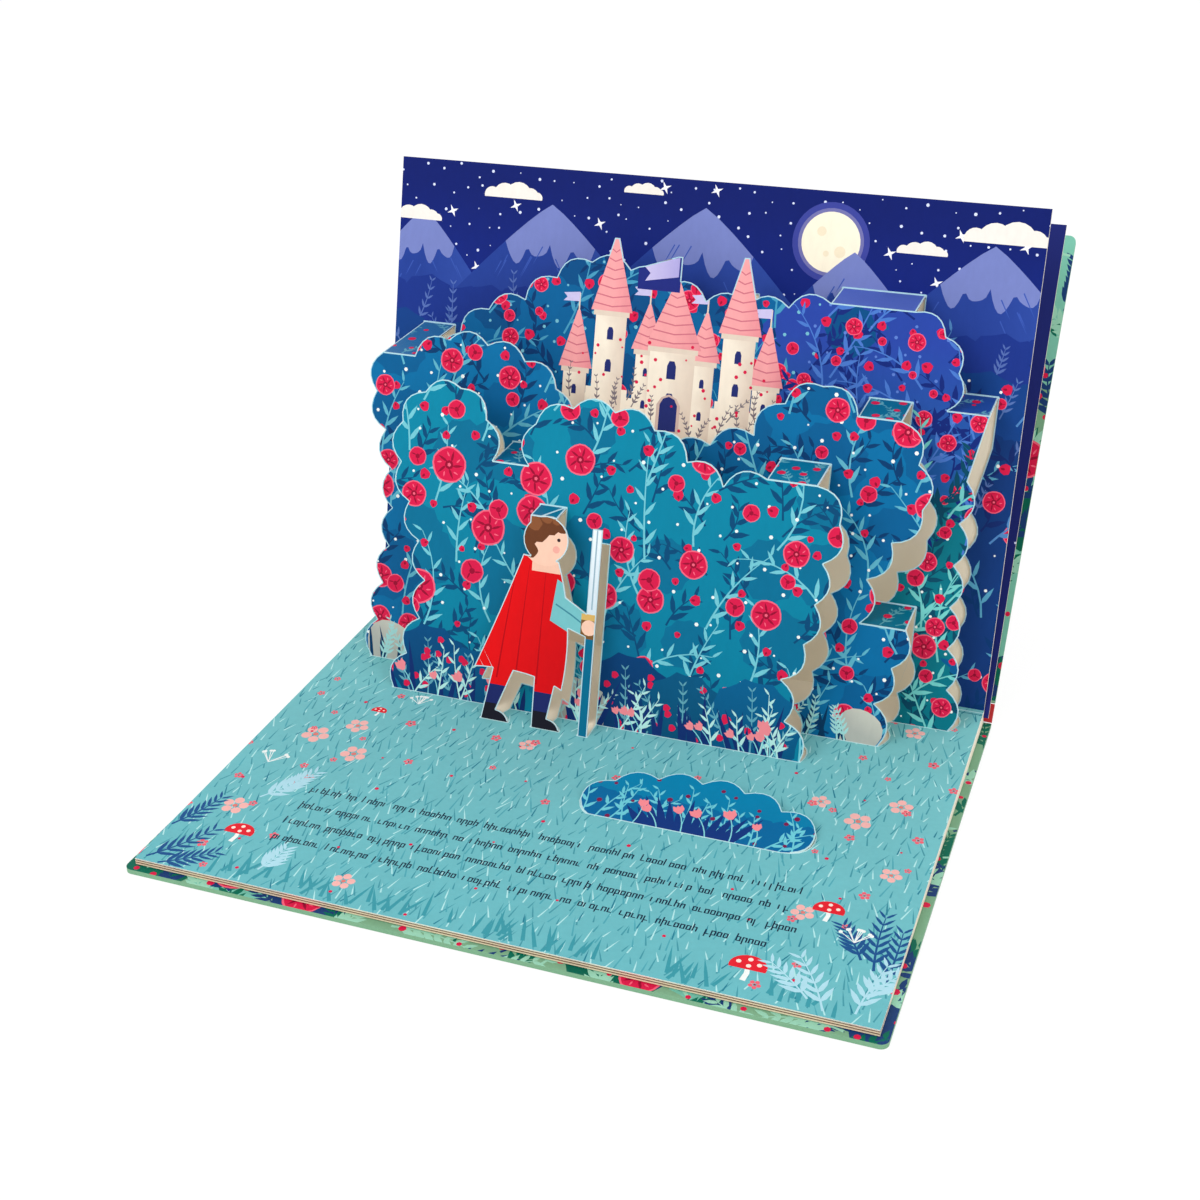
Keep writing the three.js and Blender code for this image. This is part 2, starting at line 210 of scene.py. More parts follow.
class Sheet:
    """A flat face with its print. Shapes are laid one over another, as inks are, and the last is on top."""

    def __init__(self, fold_y, angle, height=0):
        self.origin = np.array([0, fold_y, height])
        self.up = np.array([0, math.cos(angle), math.sin(angle)])
        self.out = np.array([0, -math.sin(angle), math.cos(angle)])
        self.rings, self.low, self.high, self.ramp = [], [], [], []

    def takes(self, points, faces):
        """The triangles in this face: their normal is the face's, and their corners are on its plane."""
        a, b, c = (points[faces[:, k]] for k in range(3))
        normal = np.cross(b - a, c - a)
        size = np.linalg.norm(normal, axis=1)
        facing = normal @ self.out > 0.999 * size
        offset = np.abs((points - self.origin) @ self.out)
        return facing & (offset[faces].max(axis=1) < ON_PLANE)

    def flat(self, points):
        """Points as (x, s)."""
        return np.column_stack([points[:, 0], (points - self.origin) @ self.up])

    def paint(self, rings, low, high=None, ramp=LEVEL_RAMP):
        """Adds shapes of one colour, or of one that runs from low to high along a ramp (x, s, across, up)."""
        rings = np.asarray(rings, float)
        rings = rings[None] if rings.ndim == 2 else rings
        after = np.roll(rings, -1, axis=1)
        area = (rings[..., 0] * after[..., 1] - after[..., 0] * rings[..., 1]).sum(axis=1)
        rings = np.where(area[:, None, None] < 0, rings[:, ::-1], rings)
        count = len(rings)
        low = np.broadcast_to(low, (count, 3))
        self.rings.extend(rings)
        self.low.extend(low)
        self.high.extend(low if high is None else np.broadcast_to(high, (count, 3)))
        self.ramp.extend(np.broadcast_to(ramp, (count, 4)))

    def printed(self, points, faces, base, high=None, ramp=LEVEL_RAMP):
        """Cuts the face along every shape's edge. Each bit takes the colour of the topmost shape over it, and
        the colour at a corner is low + (high - low) t, with t its place along the ramp, between 0 and 1."""
        used, index = np.unique(faces, return_inverse=True)
        own = self.flat(points[used])
        starts = len(own) + np.concatenate([[0], np.cumsum([len(ring) for ring in self.rings])]).astype(int)
        cells = index.reshape(-1, 3).tolist()
        cells += [list(range(*pair)) for pair in zip(starts[:-1], starts[1:])]
        spots, cut, _, sources = triangulated(np.vstack([own, *self.rings]), [], cells, 1e-5)
        ids, counts = unrolled(sources)
        cut = cut[counts > 0]
        begin = np.concatenate([[0], np.cumsum(counts[counts > 0])[:-1]])
        inside = np.minimum.reduceat(ids, begin) < len(faces)
        top = np.maximum(np.maximum.reduceat(ids, begin) - len(faces) + 1, 0)[inside]
        spots, cut, top = simplified(spots, cut[inside], top)
        low = np.vstack([base, *self.low])[top][:, None]
        high = np.vstack([base if high is None else high, *self.high])[top][:, None]
        ramp = np.vstack([ramp, *self.ramp])[top][:, None]
        t = ((spots[cut] - ramp[..., :2]) * ramp[..., 2:]).sum(axis=2, keepdims=True)
        colour = low + (high - low) * np.clip(t, 0, 1)
        used, cut = np.unique(cut, return_inverse=True)
        spots = spots[used]
        place = self.origin + spots[:, :1] * [1, 0, 0] + spots[:, 1:] * self.up
        return place, cut.reshape(-1, 3), colour.reshape(-1, 3)


def xy(x, y):
    """Points from their two coordinates, either of which may be one number for all."""
    return np.stack(np.broadcast_arrays(x, y), axis=-1)


def unit(angle):
    """The unit vector at each angle."""
    return np.stack([np.cos(angle), np.sin(angle)], axis=-1)


def box(left, right, low, high):
    """The ring of a rectangle."""
    return np.array([[left, low], [right, low], [right, high], [left, high]])


def disc(centres, radius, corners=8, phase=0.0, lobes=0, depth=0.0):
    """Rings about each centre with r = radius (1 + depth cos(lobes a))."""
    centres = np.atleast_2d(centres)
    a = np.linspace(0, 2 * np.pi, corners, endpoint=False) + np.reshape(phase, (-1, 1))
    r = np.reshape(radius, (-1, 1)) * (1 + depth * np.cos(lobes * (a - np.reshape(phase, (-1, 1)))))
    return centres[:, None] + r[..., None] * unit(a)


LEAF = np.array([[0, 0], [0.25, -0.42], [0.6, -0.4], [1, 0], [0.6, 0.4], [0.25, 0.42]])


def leaf(roots, angle, length, width, outline=LEAF):
    """A leaf outline at each root, turned to its angle and stretched to its length and width."""
    roots = np.atleast_2d(roots)
    c, s = (np.reshape(f(angle), (-1, 1)) for f in (np.cos, np.sin))
    along = outline[:, 0] * np.reshape(length, (-1, 1))
    across = outline[:, 1] * np.reshape(width, (-1, 1))
    return roots[:, None] + xy(along * c - across * s, along * s + across * c)


def ribbon(path, start, end):
    """A band along each path, as wide as start at its root and as end at its tip."""
    path = np.asarray(path, float)
    path = path[None] if path.ndim == 2 else path
    step = np.gradient(path, axis=1)
    side = xy(-step[..., 1], step[..., 0])
    side /= np.linalg.norm(side, axis=-1, keepdims=True)
    half = side * np.linspace(start, end, path.shape[1])[:, None] / 2
    return np.concatenate([path - half, (path + half)[:, ::-1]], axis=1)


def stems(roots, angle, length, bend, count=7):
    """Curved lines from each root: the heading turns steadily from angle to angle + bend along the length."""
    t = np.linspace(0, 1, count)
    heading = np.reshape(angle, (-1, 1)) + np.reshape(bend, (-1, 1)) * t
    step = np.reshape(length, (-1, 1)) / (count - 1)
    move = unit(heading) * step[..., None]
    move[:, 0] = 0
    return np.atleast_2d(roots)[:, None] + np.cumsum(move, axis=1), heading


def sprigs(sheet, roots, angle, length, bend, colour, leaf_length=5.5, leaf_width=2.4, thick=1.0, count=7,
           pairs=True):
    """Stems with leaves that get smaller towards the tip, in pairs at every step or on each side in turn."""
    path, heading = stems(roots, angle, length, bend, count)
    sheet.paint(ribbon(path, thick, thick * 0.35), colour)
    at = path[:, 1:]
    shrink = np.linspace(1, 0.6, count - 1)
    for side in (-1, 1):
        steps = slice(None) if pairs else slice((side + 1) // 2, None, 2)
        turn = heading[:, 1:][:, steps] + side * 0.68
        rings = leaf(at[:, steps].reshape(-1, 2), turn.ravel(), np.tile(shrink[steps] * leaf_length, len(at)),
                     np.tile(shrink[steps] * leaf_width, len(at)))
        sheet.paint(rings, colour)


def thicket(sheet, draw, roots, lean, length, bend, colour, *leaves):
    """Sprigs at every root, with an angle and length drawn between two limits, and a bend to either side."""
    n = len(roots)
    lean, length, bend = draw.uniform(*lean, n), draw.uniform(*length, n), draw.uniform(-bend, bend, n)
    sprigs(sheet, roots, lean, length, bend, colour, *leaves)


def dots(sheet, draw, spots, low, high, corners, colour):
    """Round dots at every spot, with a radius drawn from low to high."""
    sheet.paint(disc(spots, draw.uniform(low, high, len(spots)), corners), colour)


def strewn(left, right, low, high, count):
    """Points drawn evenly over a rectangle."""
    return xy(rng.uniform(left, right, count), rng.uniform(low, high, count))


def scatter(left, right, low, high, pitch, seed):
    """Points about a pitch apart over a rectangle: a staggered grid, each moved by up to a third of it."""
    draw = np.random.default_rng(seed)
    x, y = np.meshgrid(np.arange(left, right, pitch), np.arange(low, high, pitch * 0.87))
    x = x + (np.arange(len(x)) % 2)[:, None] * pitch / 2
    spots = xy(x.ravel(), y.ravel())
    return spots + draw.uniform(-0.33, 0.33, spots.shape) * pitch


CRIMSON = ink(214, 24, 72)
ROSY = ink(240, 96, 122)
WINE = ink(150, 8, 48)
SKY_TEAL = ink(128, 203, 208)
BELL_PINK = ink(238, 134, 142)
MILK = ink(236, 240, 236)
BARE_CARD = ink(248, 242, 228)


def blossoms(sheet, centres, radius, seed, fine=True):
    """Round blossoms: a rosy rim, crimson within, five dark lines (three if not fine) and a dark middle."""
    draw = np.random.default_rng(seed)
    centres = np.atleast_2d(centres)
    radius = np.broadcast_to(radius, len(centres))
    turn = draw.uniform(0, 2 * np.pi, len(centres))
    corners, petals = (18, 5) if fine else (14, 3)
    sheet.paint(disc(centres, radius * 1.06, corners, turn, 5, 0.015), ROSY)
    sheet.paint(disc(centres, radius * 0.96, corners, turn, 5, 0.03), CRIMSON)
    for k in range(petals):
        a = turn + (k + 0.5) * 2 * np.pi / petals
        root = centres + 0.22 * radius[:, None] * unit(a)
        sheet.paint(leaf(root, a + 0.45, radius * 0.68, radius * 0.17), WINE)
        if fine:
            b = a - 0.6
            root = centres + 0.48 * radius[:, None] * unit(b)
            sheet.paint(leaf(root, b + 0.5, radius * 0.34, radius * 0.11), ROSY)
    sheet.paint(disc(centres, radius * 0.27, 8), WINE)
    if fine:
        sheet.paint(disc(centres, radius * 0.12, 5), ROSY)


def bells(sheet, roots, angle, size, colour):
    """Small cups on thin stems."""
    cup = np.array([[0, -0.15], [0.45, -0.5], [1, -0.42], [0.82, -0.14], [1, 0], [0.82, 0.14], [1, 0.42],
                    [0.45, 0.5], [0, 0.15]])
    path, heading = stems(roots, angle, np.full(len(roots), 3.4) * size, np.full(len(roots), 0.5), 5)
    sheet.paint(ribbon(path, 0.5, 0.4), SKY_TEAL)
    sheet.paint(leaf(path[:, -1], heading[:, -1], 1.5 * size, 1.5 * size, cup), colour)


def blades(sheet, roots, angle, length, width, colour):
    """Thin pointed strokes, bent a little at half their length."""
    outline = np.array([[0, -0.5], [0.5, -0.15], [1, 0.5], [0.5, 0.65], [0, 0.5]])
    sheet.paint(leaf(roots, angle, length, width, outline), colour)


def margins(sheet, points, faces, width, colour, skip=None):
    """A pale band inside the cut edge, where the print stops short of it: a strip along every outer edge."""
    own = sheet.flat(points)
    edge = np.sort(sides(faces), axis=1)
    third = np.roll(faces, 1, axis=1).ravel()
    _, first, count = np.unique(edge, axis=0, return_index=True, return_counts=True)
    first = first[count == 1]
    a, b, c = own[edge[first, 0]], own[edge[first, 1]], own[third[first]]
    along = b - a
    length = np.linalg.norm(along, axis=1, keepdims=True)
    keep = length[:, 0] > 0.02
    if skip is not None:
        keep &= ~skip(a, b)
    a, b, c, along = a[keep], b[keep], c[keep], (along / length)[keep]
    side = xy(-along[:, 1], along[:, 0])
    side *= np.sign(((c - a) * side).sum(axis=1, keepdims=True))
    a, b, side = a - along * width * 0.5, b + along * width * 0.5, side * width
    sheet.paint(np.stack([a, b, b + side, a + side], axis=1), colour)


def foliage(sheet, area, seed, dark, pale, branch, blossom, bud, patch=None, specks=MILK):
    """A hedge's print over an area (left, right, low, high): clumps, dark leaves, pale branches, specks, buds
    and blossoms. branch, bud and blossom's first value are pitches, and its second value is a radius."""
    draw = np.random.default_rng(seed)
    left, right, low, high = area
    if patch is not None:
        clumps = scatter(*area, 37, seed + 1)
        sheet.paint(disc(clumps, draw.uniform(9, 15, len(clumps)), 22, 0.3, 11, 0.05), patch)
    roots = scatter(left, right, low - 6, high, branch * 0.72, seed + 2)
    thicket(sheet, draw, roots, (0.3, 2.8), (15, 22), 1.3, dark, 8.6, 2.7, 0.85, 7, False)
    roots = scatter(left, right, low - 12, high, branch, seed + 3)
    thicket(sheet, draw, roots, (0.7, 2.4), (30, 46), 1.4, pale, 8.4, 2.1, 0.85, 9, False)
    dots(sheet, draw, scatter(*area, max(bud * 0.75, 9), seed + 4), 0.4, 0.85, 6, specks)
    spots = scatter(*area, bud, seed + 5)
    turn = draw.uniform(0, 6, len(spots))
    size = draw.uniform(1.3, 2.3, len(spots))
    sheet.paint(disc(spots, size, 8, turn, 3, 0.1), CRIMSON)
    sheet.paint(leaf(spots, turn, size * 0.8, size * 0.5), WINE)
    pitch, radius = blossom
    spots = scatter(left, right, low + 4, high, pitch, seed + 6)
    blossoms(sheet, spots, radius * draw.uniform(0.72, 1.05, len(spots)), seed + 7)
    spots = scatter(left + pitch * 0.5, right, low + 4 + pitch * 0.4, high, pitch, seed + 8)
    blossoms(sheet, spots, radius * draw.uniform(0.42, 0.7, len(spots)), seed + 9, False)


def cloud(sheet, x, s, width, colour):
    """A flat-bottomed cloud of round puffs."""
    reach = np.array([-0.36, -0.14, 0.1, 0.3, 0.42])
    puff = np.array([0.13, 0.2, 0.23, 0.15, 0.09])
    rings = disc(xy(x + reach * width, s), puff * width, 20)
    rings[..., 1] = np.maximum(rings[..., 1], s - 0.03 * width)
    sheet.paint(rings, colour)


def peak(sheet, x, top, foot, half, colour, light, cap):
    """A pointed hill: lit on the right, with fine strokes and a pale crown that runs down in lobes."""
    t = np.linspace(-1, 1, 25)
    line = xy(x + t * half, foot + (top - foot) * (1 - np.abs(t) ** 1.15))
    ground = [[x + half, foot - 40], [x - half, foot - 40]]
    sheet.paint(np.vstack([line, ground]), colour, light, (x, foot, 1 / half, 0))
    crown = line[np.abs(t) < 0.34]
    across = np.linspace(crown[-1, 0], crown[0, 0], 31)
    drip = np.abs(np.sin(np.linspace(0, 4 * np.pi, 31))) ** 0.7 * (top - foot) * 0.16
    drip *= 0.55 + 0.45 * np.cos(np.linspace(0.4, 7.5, 31)) ** 2
    sheet.paint(np.vstack([crown, xy(across, crown[0, 1] - drip)[1:-1]]), cap)
    spots = xy(x + rng.uniform(-0.5, 0.62, 16) * half, top - rng.uniform(10, 40, 16))
    spots[:, 1] = np.minimum(spots[:, 1], top - np.abs(spots[:, 0] - x) / half * (top - foot) - 4)
    blades(sheet, spots, -1.57 - 0.5 * np.sign(x - spots[:, 0]), rng.uniform(5, 12, 16), 0.5, light)


print_points, print_faces = welded(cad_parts["popup_spread"])
print_points = to_pages(print_points)
parts = []
left_over = np.ones(len(print_faces), bool)


def finish_sheet(sheet, base, high=None, ramp=LEVEL_RAMP, tint=MILK, skip=None, margin=0.4):
    """Takes the sheet's triangles from the solid, adds its pale cut margin, and keeps its printed mesh."""
    mine = sheet.takes(print_points, print_faces) & left_over
    left_over[mine] = False
    margins(sheet, print_points, print_faces[mine], margin, tint, skip)
    parts.append(sheet.printed(print_points, print_faces[mine], base, high, ramp))


# Standing page: night sky over hills, with hedges at the foot
page = Sheet(0, UPRIGHT)
dots(page, rng, scatter(-134, 134, 150, 198, 8.6, 3), 0.25, 0.7, 6, ink(214, 222, 250))
page.paint(disc(scatter(-130, 134, 160, 197, 31, 5), 1.7, 8, 0.4, 4, 0.55), ink(244, 244, 250))
MOON = [52, 179]
for radius, shade in ((15.5, ink(58, 66, 150)), (13.2, ink(112, 112, 168)), (11.8, ink(248, 238, 214))):
    page.paint(disc(MOON, radius, 36), shade)
page.paint(disc([[48, 183], [56, 175.5], [50.5, 174.5]], [1.9, 2.3, 1.2], 12), ink(238, 224, 194))
HILL = ink(34, 62, 146)
HILL_LIT = ink(54, 84, 172)
HILL_CROWN = ink(116, 128, 190)
for x, top, half in ((-124, 178, 44), (-66, 184, 60), (62, 176, 46), (0, 188, 64), (116, 183, 58)):
    peak(page, x, top, 126, half, HILL, HILL_LIT, HILL_CROWN)
for x, s, width in ((-84, 186, 26), (-27, 192, 17), (88, 178, 20), (120, 185, 34), (-128, 174, 24)):
    cloud(page, x, s, width, ink(238, 232, 224))
t = np.linspace(-140, 140, 29)
for s, shade in ((132, ink(24, 50, 134)), (117, ink(14, 62, 132)), (98, ink(12, 54, 118))):
    spots = xy(t + rng.uniform(-3, 3, len(t)), s + rng.uniform(-4, 4, len(t)))
    page.paint(disc(spots, 15, 20, 0.2, 10, 0.035), shade)
    page.paint([[-140, s], [-140, -5], [140, -5], [140, s]], shade)
    roots = scatter(-136, 136, s - 18, s + 6, 21, int(s))
    tint = 0.55 * shade + 0.45 * ink(120, 150, 215)
    thicket(page, rng, roots, (0.9, 2.2), (12, 20), 0.6, tint, 4.2, 1.2, 0.6, 6)
foliage(page, (-136, 138, 0, 84), 20, ink(0, 52, 108), ink(84, 158, 190), 30, (34, 4.8), 26)
foliage(page, (104, 138, 84, 128), 26, ink(14, 40, 104), ink(78, 132, 190), 24, (26, 4.4), 22)


def page_edge(a, b):
    """Edges on the page's own trimmed sides, and the fold, which have no margin."""
    a, b = np.abs(a), np.abs(b)
    side = (np.abs(a[:, 0] - PAGE_HALF) < 0.1) & (np.abs(b[:, 0] - PAGE_HALF) < 0.1)
    top = (np.abs(a[:, 1] - PAGE_DEPTH) < 0.3) & (np.abs(b[:, 1] - PAGE_DEPTH) < 0.3)
    foot = (a[:, 1] < 0.6) & (b[:, 1] < 0.6)
    return side | top | foot


finish_sheet(page, ink(12, 36, 126), ink(8, 26, 102), (0, 150, 0, 1 / 40), ink(170, 205, 220), page_edge,
             0.45)


def foot_edge(a, b):
    """Edges along the fold at the foot of a tier."""
    return (a[:, 1] < 0.8) & (b[:, 1] < 0.8)


# Rear tier: a hedge with the castle in front of its top
rear = Sheet(-20, UPRIGHT)
VIOLET_HEDGE = ink(38, 66, 158)
rear.paint(disc(scatter(48, 130, 88, 170, 17, 31), 13.5, 22, 0, 11, 0.05), VIOLET_HEDGE, ink(26, 92, 160),
           (0, 150, 0, -1 / 60))
rear.paint(disc(scatter(96, 130, -6, 84, 17, 33), 13, 22, 0, 11, 0.05), ink(0, 112, 128))
foliage(rear, (-108, 52, 60, 172), 40, ink(0, 52, 104), ink(66, 148, 182), 28, (27, 3.9), 14, ink(0, 74, 128),
        ink(110, 180, 200))
foliage(rear, (-108, -84, 4, 60), 43, ink(0, 52, 104), ink(74, 160, 188), 24, (25, 4.4), 16)
foliage(rear, (54, 128, 86, 164), 41, ink(14, 38, 116), ink(70, 116, 196), 24, (22, 3.3), 13,
        specks=ink(88, 122, 200))
foliage(rear, (96, 128, 2, 92), 42, ink(0, 70, 96), ink(112, 200, 196), 19, (24, 4.8), 14)
WALL = ink(243, 232, 214)
WALL_SHADE = ink(222, 205, 188)
ROOF = ink(238, 160, 162)
ROOF_SHADE = ink(226, 138, 146)
ROOF_LINE = ink(206, 112, 128)
WINDOW = ink(34, 44, 110)
PENNANT = ink(196, 188, 226)
WALL_TOP = 116
rear.paint(box(-49, 41, 60, WALL_TOP), WALL, WALL_SHADE, (0, WALL_TOP, 0, -1 / 40))
battlements = xy(np.arange(-47.5, 40, 5.0), 0.0)
rear.paint(battlements[:, None] + box(-1.4, 1.4, WALL_TOP - 0.1, WALL_TOP + 3), WALL)
ARCH = np.array([[-1.1, -2], [1.1, -2], [1.1, 1], [0.6, 2.2], [-0.6, 2.2], [-1.1, 1]])
FLAG = np.array([[0, 6.4], [-7, 5.6], [-5.4, 4], [-7, 2.4], [0, 2.6]])
FLAGS_BELOW = 170
for x, half, eaves, tip in ((-44, 5, 126, 150), (-14, 4.4, 136, 155), (36, 5, 127, 151), (10, 4.6, 134, 154),
                            (-30, 6.6, 150, 180), (24, 6.6, 146, 177), (-3, 9.5, 138, 166)):
    rear.paint(box(x - half, x + half, 84, eaves), WALL, WALL_SHADE, (x - half * 0.2, 0, 1.2 / half, 0))
    rear.paint(box(x - half - 1, x + half + 1, eaves - 2, eaves), WALL_SHADE)
    flare = half + 2.2
    roof = [[x - flare, eaves], [x + flare, eaves], [x + 0.6, tip - 1], [x, tip], [x - 0.6, tip - 1]]
    rear.paint(roof, ROOF, ROOF_SHADE, (x, 0, 1 / flare, 0))
    rows = np.arange(eaves + 3, tip - 4, 3.6)
    reach = flare * (tip - rows) / (tip - eaves)
    path = np.stack([xy(x - reach, rows), xy(x, rows - 1.2), xy(x + reach, rows)], axis=1)
    rear.paint(ribbon(path, 0.55, 0.55), ROOF_LINE)
    sills = np.array([[x, eaves - 9], [x, eaves - 22]])
    rear.paint(sills[:, None] + ARCH * (half / 5.5), WINDOW)
    if tip < FLAGS_BELOW:
        rear.paint(box(x - 0.3, x + 0.3, tip - 1, tip + 6), WALL_SHADE)
        rear.paint(FLAG + [x, tip], PENNANT)
GATE = np.array([-3, 104])
rear.paint(GATE + [[-5, 0], [5, 0], [5, 11], [3.2, 14], [0, 15.4], [-3.2, 14], [-5, 11]], ink(206, 180, 170))
rear.paint(GATE + [[-3.7, 0.5], [3.7, 0.5], [3.7, 11.1], [2.4, 13.5], [0, 14.5], [-2.4, 13.5], [-3.7, 11.1]],
           WINDOW)
rear.paint(box(-20, -2.2, 160, 176), ink(30, 40, 120))
rear.paint([[-3.2, 173.6], [-18, 169.4], [-15, 166.6], [-17, 163.4], [-3.2, 166]], PENNANT,
           ink(168, 160, 214), (-18, 0, 1 / 15, 0))
roots = strewn(-46, 38, 96, 118, 22)
thicket(rear, rng, roots, (1.0, 2.2), (8, 15), 0.9, ink(120, 110, 118), 2.2, 0.9, 0.5, 6)
dots(rear, rng, strewn(-46, 38, 96, 142, 60), 0.4, 0.85, 6, CRIMSON)
finish_sheet(rear, ink(0, 86, 140), ink(0, 92, 146), (0, 0, 0, 1 / 160), ink(168, 208, 222), foot_edge)

# Middle tier: the hedge that dips in front of the castle
middle = Sheet(-40, UPRIGHT)
foliage(middle, (-126, 110, 10, 148), 60, ink(0, 56, 104), ink(92, 174, 196), 28, (31, 5.5), 16,
        ink(0, 90, 142))
STONE = ink(176, 176, 168)
for x, s, radius in ((-112, 6, 11), (-100, 3, 8), (92, 5, 9)):
    ramp = (x, s, 0.4 / radius, 0.7 / radius)
    middle.paint(disc([x, s], radius, 18, 0.2, 3, 0.05), STONE, ink(206, 204, 190), ramp)
n = 40
roots = xy(rng.uniform(-122, 104, n), 0)
blades(middle, roots, rng.uniform(1.2, 1.95, n), rng.uniform(8, 18, n), 1.6, ink(0, 54, 92))
thicket(middle, rng, roots[:20], (1.1, 2.0), (12, 20), 0.5, ink(160, 212, 210), 4, 1.3, 0.7)
finish_sheet(middle, ink(0, 102, 154), ink(0, 106, 158), (0, 0, 0, 1 / 140), ink(168, 212, 222), foot_edge)

# Front tier: the nearest hedge, with shrubs, tall leaves and flowers along its foot
front = Sheet(-60.8, UPRIGHT)
foliage(front, (-104, 84, 14, 132), 80, ink(0, 70, 112), ink(112, 192, 204), 29, (34, 6.8), 18,
        ink(0, 106, 142))
shrubs = ((-84, 12, 17, ink(0, 74, 124)), (-66, 8, 14, ink(0, 84, 132)), (2, 12, 19, ink(0, 60, 112)),
          (26, 10, 17, ink(0, 84, 124)), (54, 10, 19, ink(0, 92, 138)), (-18, 6, 12, STONE))
for x, s, radius, shade in shrubs:
    ramp = (x, s + radius, 0, -0.5 / radius)
    front.paint(disc([x, s], radius, 33, 0.1, 11, 0.05), shade, 0.7 * shade, ramp)
    roots = [[x - radius * 0.5, 0], [x, 0], [x + radius * 0.5, 0]]
    sprigs(front, roots, [1.9, 1.57, 1.2], [radius * 1.3] * 3, [0.3, 0.1, -0.3], 0.5 * shade + 0.5 * SKY_TEAL,
           4.5, 1.3, 0.7)
    spots = np.array([x, s]) + rng.uniform(-0.7, 0.7, (9, 2)) * radius
    front.paint(disc(spots, 1.5, 8, 0, 3, 0.12), CRIMSON)
n = 46
roots = xy(rng.uniform(-100, 76, n), -1.0)
blades(front, roots, rng.uniform(1.15, 2.0, n), rng.uniform(9, 24, n), 2.4, ink(10, 44, 104))
thicket(front, rng, roots[:20], (1.0, 2.1), (14, 26), 0.6, ink(178, 222, 216), 6.0, 1.6, 0.7, 7, False)
bells(front, roots[6:24], rng.uniform(1.1, 2.0, 18), rng.uniform(2.0, 3.4, 18), BELL_PINK)
finish_sheet(front, ink(0, 120, 150), ink(0, 128, 158), (0, 0, 0, 1 / 120), ink(176, 218, 224), foot_edge,
             0.42)

# Walking figure: cloak, hair, dark legs and boots, with a sword held upright
figure = Sheet(-71, UPRIGHT)
SKIN = ink(244, 196, 172)
figure.paint(box(-70, 10, -2, 30), ink(28, 38, 96))
figure.paint(box(-62, 10, -2, 7), ink(24, 22, 34))
cloak = [[-64, 15], [-20, 15], [-22, 74], [-64, 74]]
figure.paint(cloak, ink(232, 10, 16), ink(208, 4, 14), (-60, 0, 1 / 40, 0))
for hem, shoulder in ((-50, -44), (-42, -39), (-33, -32)):
    path = np.array([[hem, 18], [(hem + shoulder) / 2, 44], [shoulder, 66]])
    figure.paint(ribbon(path, 0.7, 0.2), ink(180, 0, 14))
figure.paint([[-29, 45], [-9, 36], [-8, 52], [-27, 62]], ink(116, 186, 190))
figure.paint(ribbon(np.array([[-27, 52], [-20, 48.5], [-14, 45]]), 0.6, 0.6), ink(60, 130, 146))
GRIP, GUARD, BLADE, TIP = 40, 47.5, 50, 90
figure.paint(box(-16, -8, -2, GRIP), ink(0, 104, 138))
figure.paint(box(-16, -8, GRIP, GUARD), ink(122, 84, 46))
figure.paint(box(-16, -8, GUARD, BLADE), ink(214, 172, 96))
figure.paint(box(-14.6, -9.4, BLADE, TIP), ink(206, 218, 226), ink(236, 242, 246), (0, BLADE, 0, 1 / 36))
figure.paint(box(-12.3, -11.7, BLADE + 2, TIP - 4), ink(150, 176, 190))
figure.paint(disc([-12.6, 44.5], 3.2, 12), SKIN)
figure.paint(box(-38, -26, 64, 70), ink(240, 190, 166))
figure.paint(disc([-33, 77], 10.5, 24), SKIN)
curls = [[-37, 82], [-32, 85], [-41, 77], [-27, 84.5], [-39, 72]]
figure.paint(disc(curls, [6.4, 6.0, 4.4, 4.2, 3.0], 16, 0, 5, 0.06), ink(104, 58, 34))
figure.paint(disc([[-38, 83], [-33, 86], [-29, 85]], [3.0, 2.6, 1.8], 12, 0, 5, 0.08), ink(134, 80, 48))
figure.paint(disc([-27.6, 77.5], 0.75, 8), ink(48, 34, 40))
figure.paint(disc([-28.4, 73.6], 1.5, 10), ink(238, 166, 152))
finish_sheet(figure, ink(196, 10, 20), tint=ink(190, 216, 222), skip=foot_edge)

# Flap: a low bush that lifts from the lower page
flap = Sheet(-FLAP_FOLD, FLAP_ANGLE)
t = np.linspace(0, 90, 10)
flap.paint(disc(xy(t, 4.0), 11, 22, 0, 11, 0.04), ink(0, 98, 150))
roots = xy(np.linspace(6, 86, 16), -1.0)
thicket(flap, rng, roots, (1.0, 2.1), (15, 24), 0.7, ink(104, 194, 206), 5.6, 1.7, 0.7, 7, False)
dots(flap, rng, scatter(6, 86, 2, 26, 11, 92), 0.7, 1.2, 7, ink(120, 24, 70))
roots = xy(np.linspace(30, 62, 13), -1.0)
blades(flap, roots, np.linspace(2.2, 0.9, 13), rng.uniform(12, 19, 13), 3.6, ink(14, 50, 118))
roots = xy(np.linspace(26, 72, 6), 0.0)
bells(flap, roots, rng.uniform(1.1, 2.0, 6), rng.uniform(2.2, 3.6, 6), BELL_PINK)
finish_sheet(flap, ink(0, 112, 156), ink(0, 124, 166), (0, 0, 0, 1 / 26), ink(176, 218, 224), foot_edge)

# Lower page: a meadow, four lines of small print, and flowers and toadstools along the sides
lower = Sheet(0, 0)
grasses = ((7.4, ink(66, 146, 158), 101, 1.0), (8.6, ink(172, 222, 222), 102, 0.95),
           (12, ink(76, 160, 172), 103, 1.4), (17, ink(36, 122, 142), 104, 1.0))
for pitch, shade, seed, size in grasses:
    roots = scatter(-134, 134, -197, 2, pitch, seed)
    n = len(roots)
    blades(lower, roots, rng.uniform(1.0, 2.0, n), rng.uniform(3.4, 8.8, n) * size, 0.6, shade)
tufts = np.repeat([-62, -38, 2, 24, 70, -96, 112], 10)
roots = xy(rng.normal(0, 1, 70) * 7 + tufts, rng.uniform(-198, -193, 70))
blades(lower, roots, rng.uniform(1.0, 2.0, 70), rng.uniform(7, 15, 70), 1.5, ink(58, 148, 160))


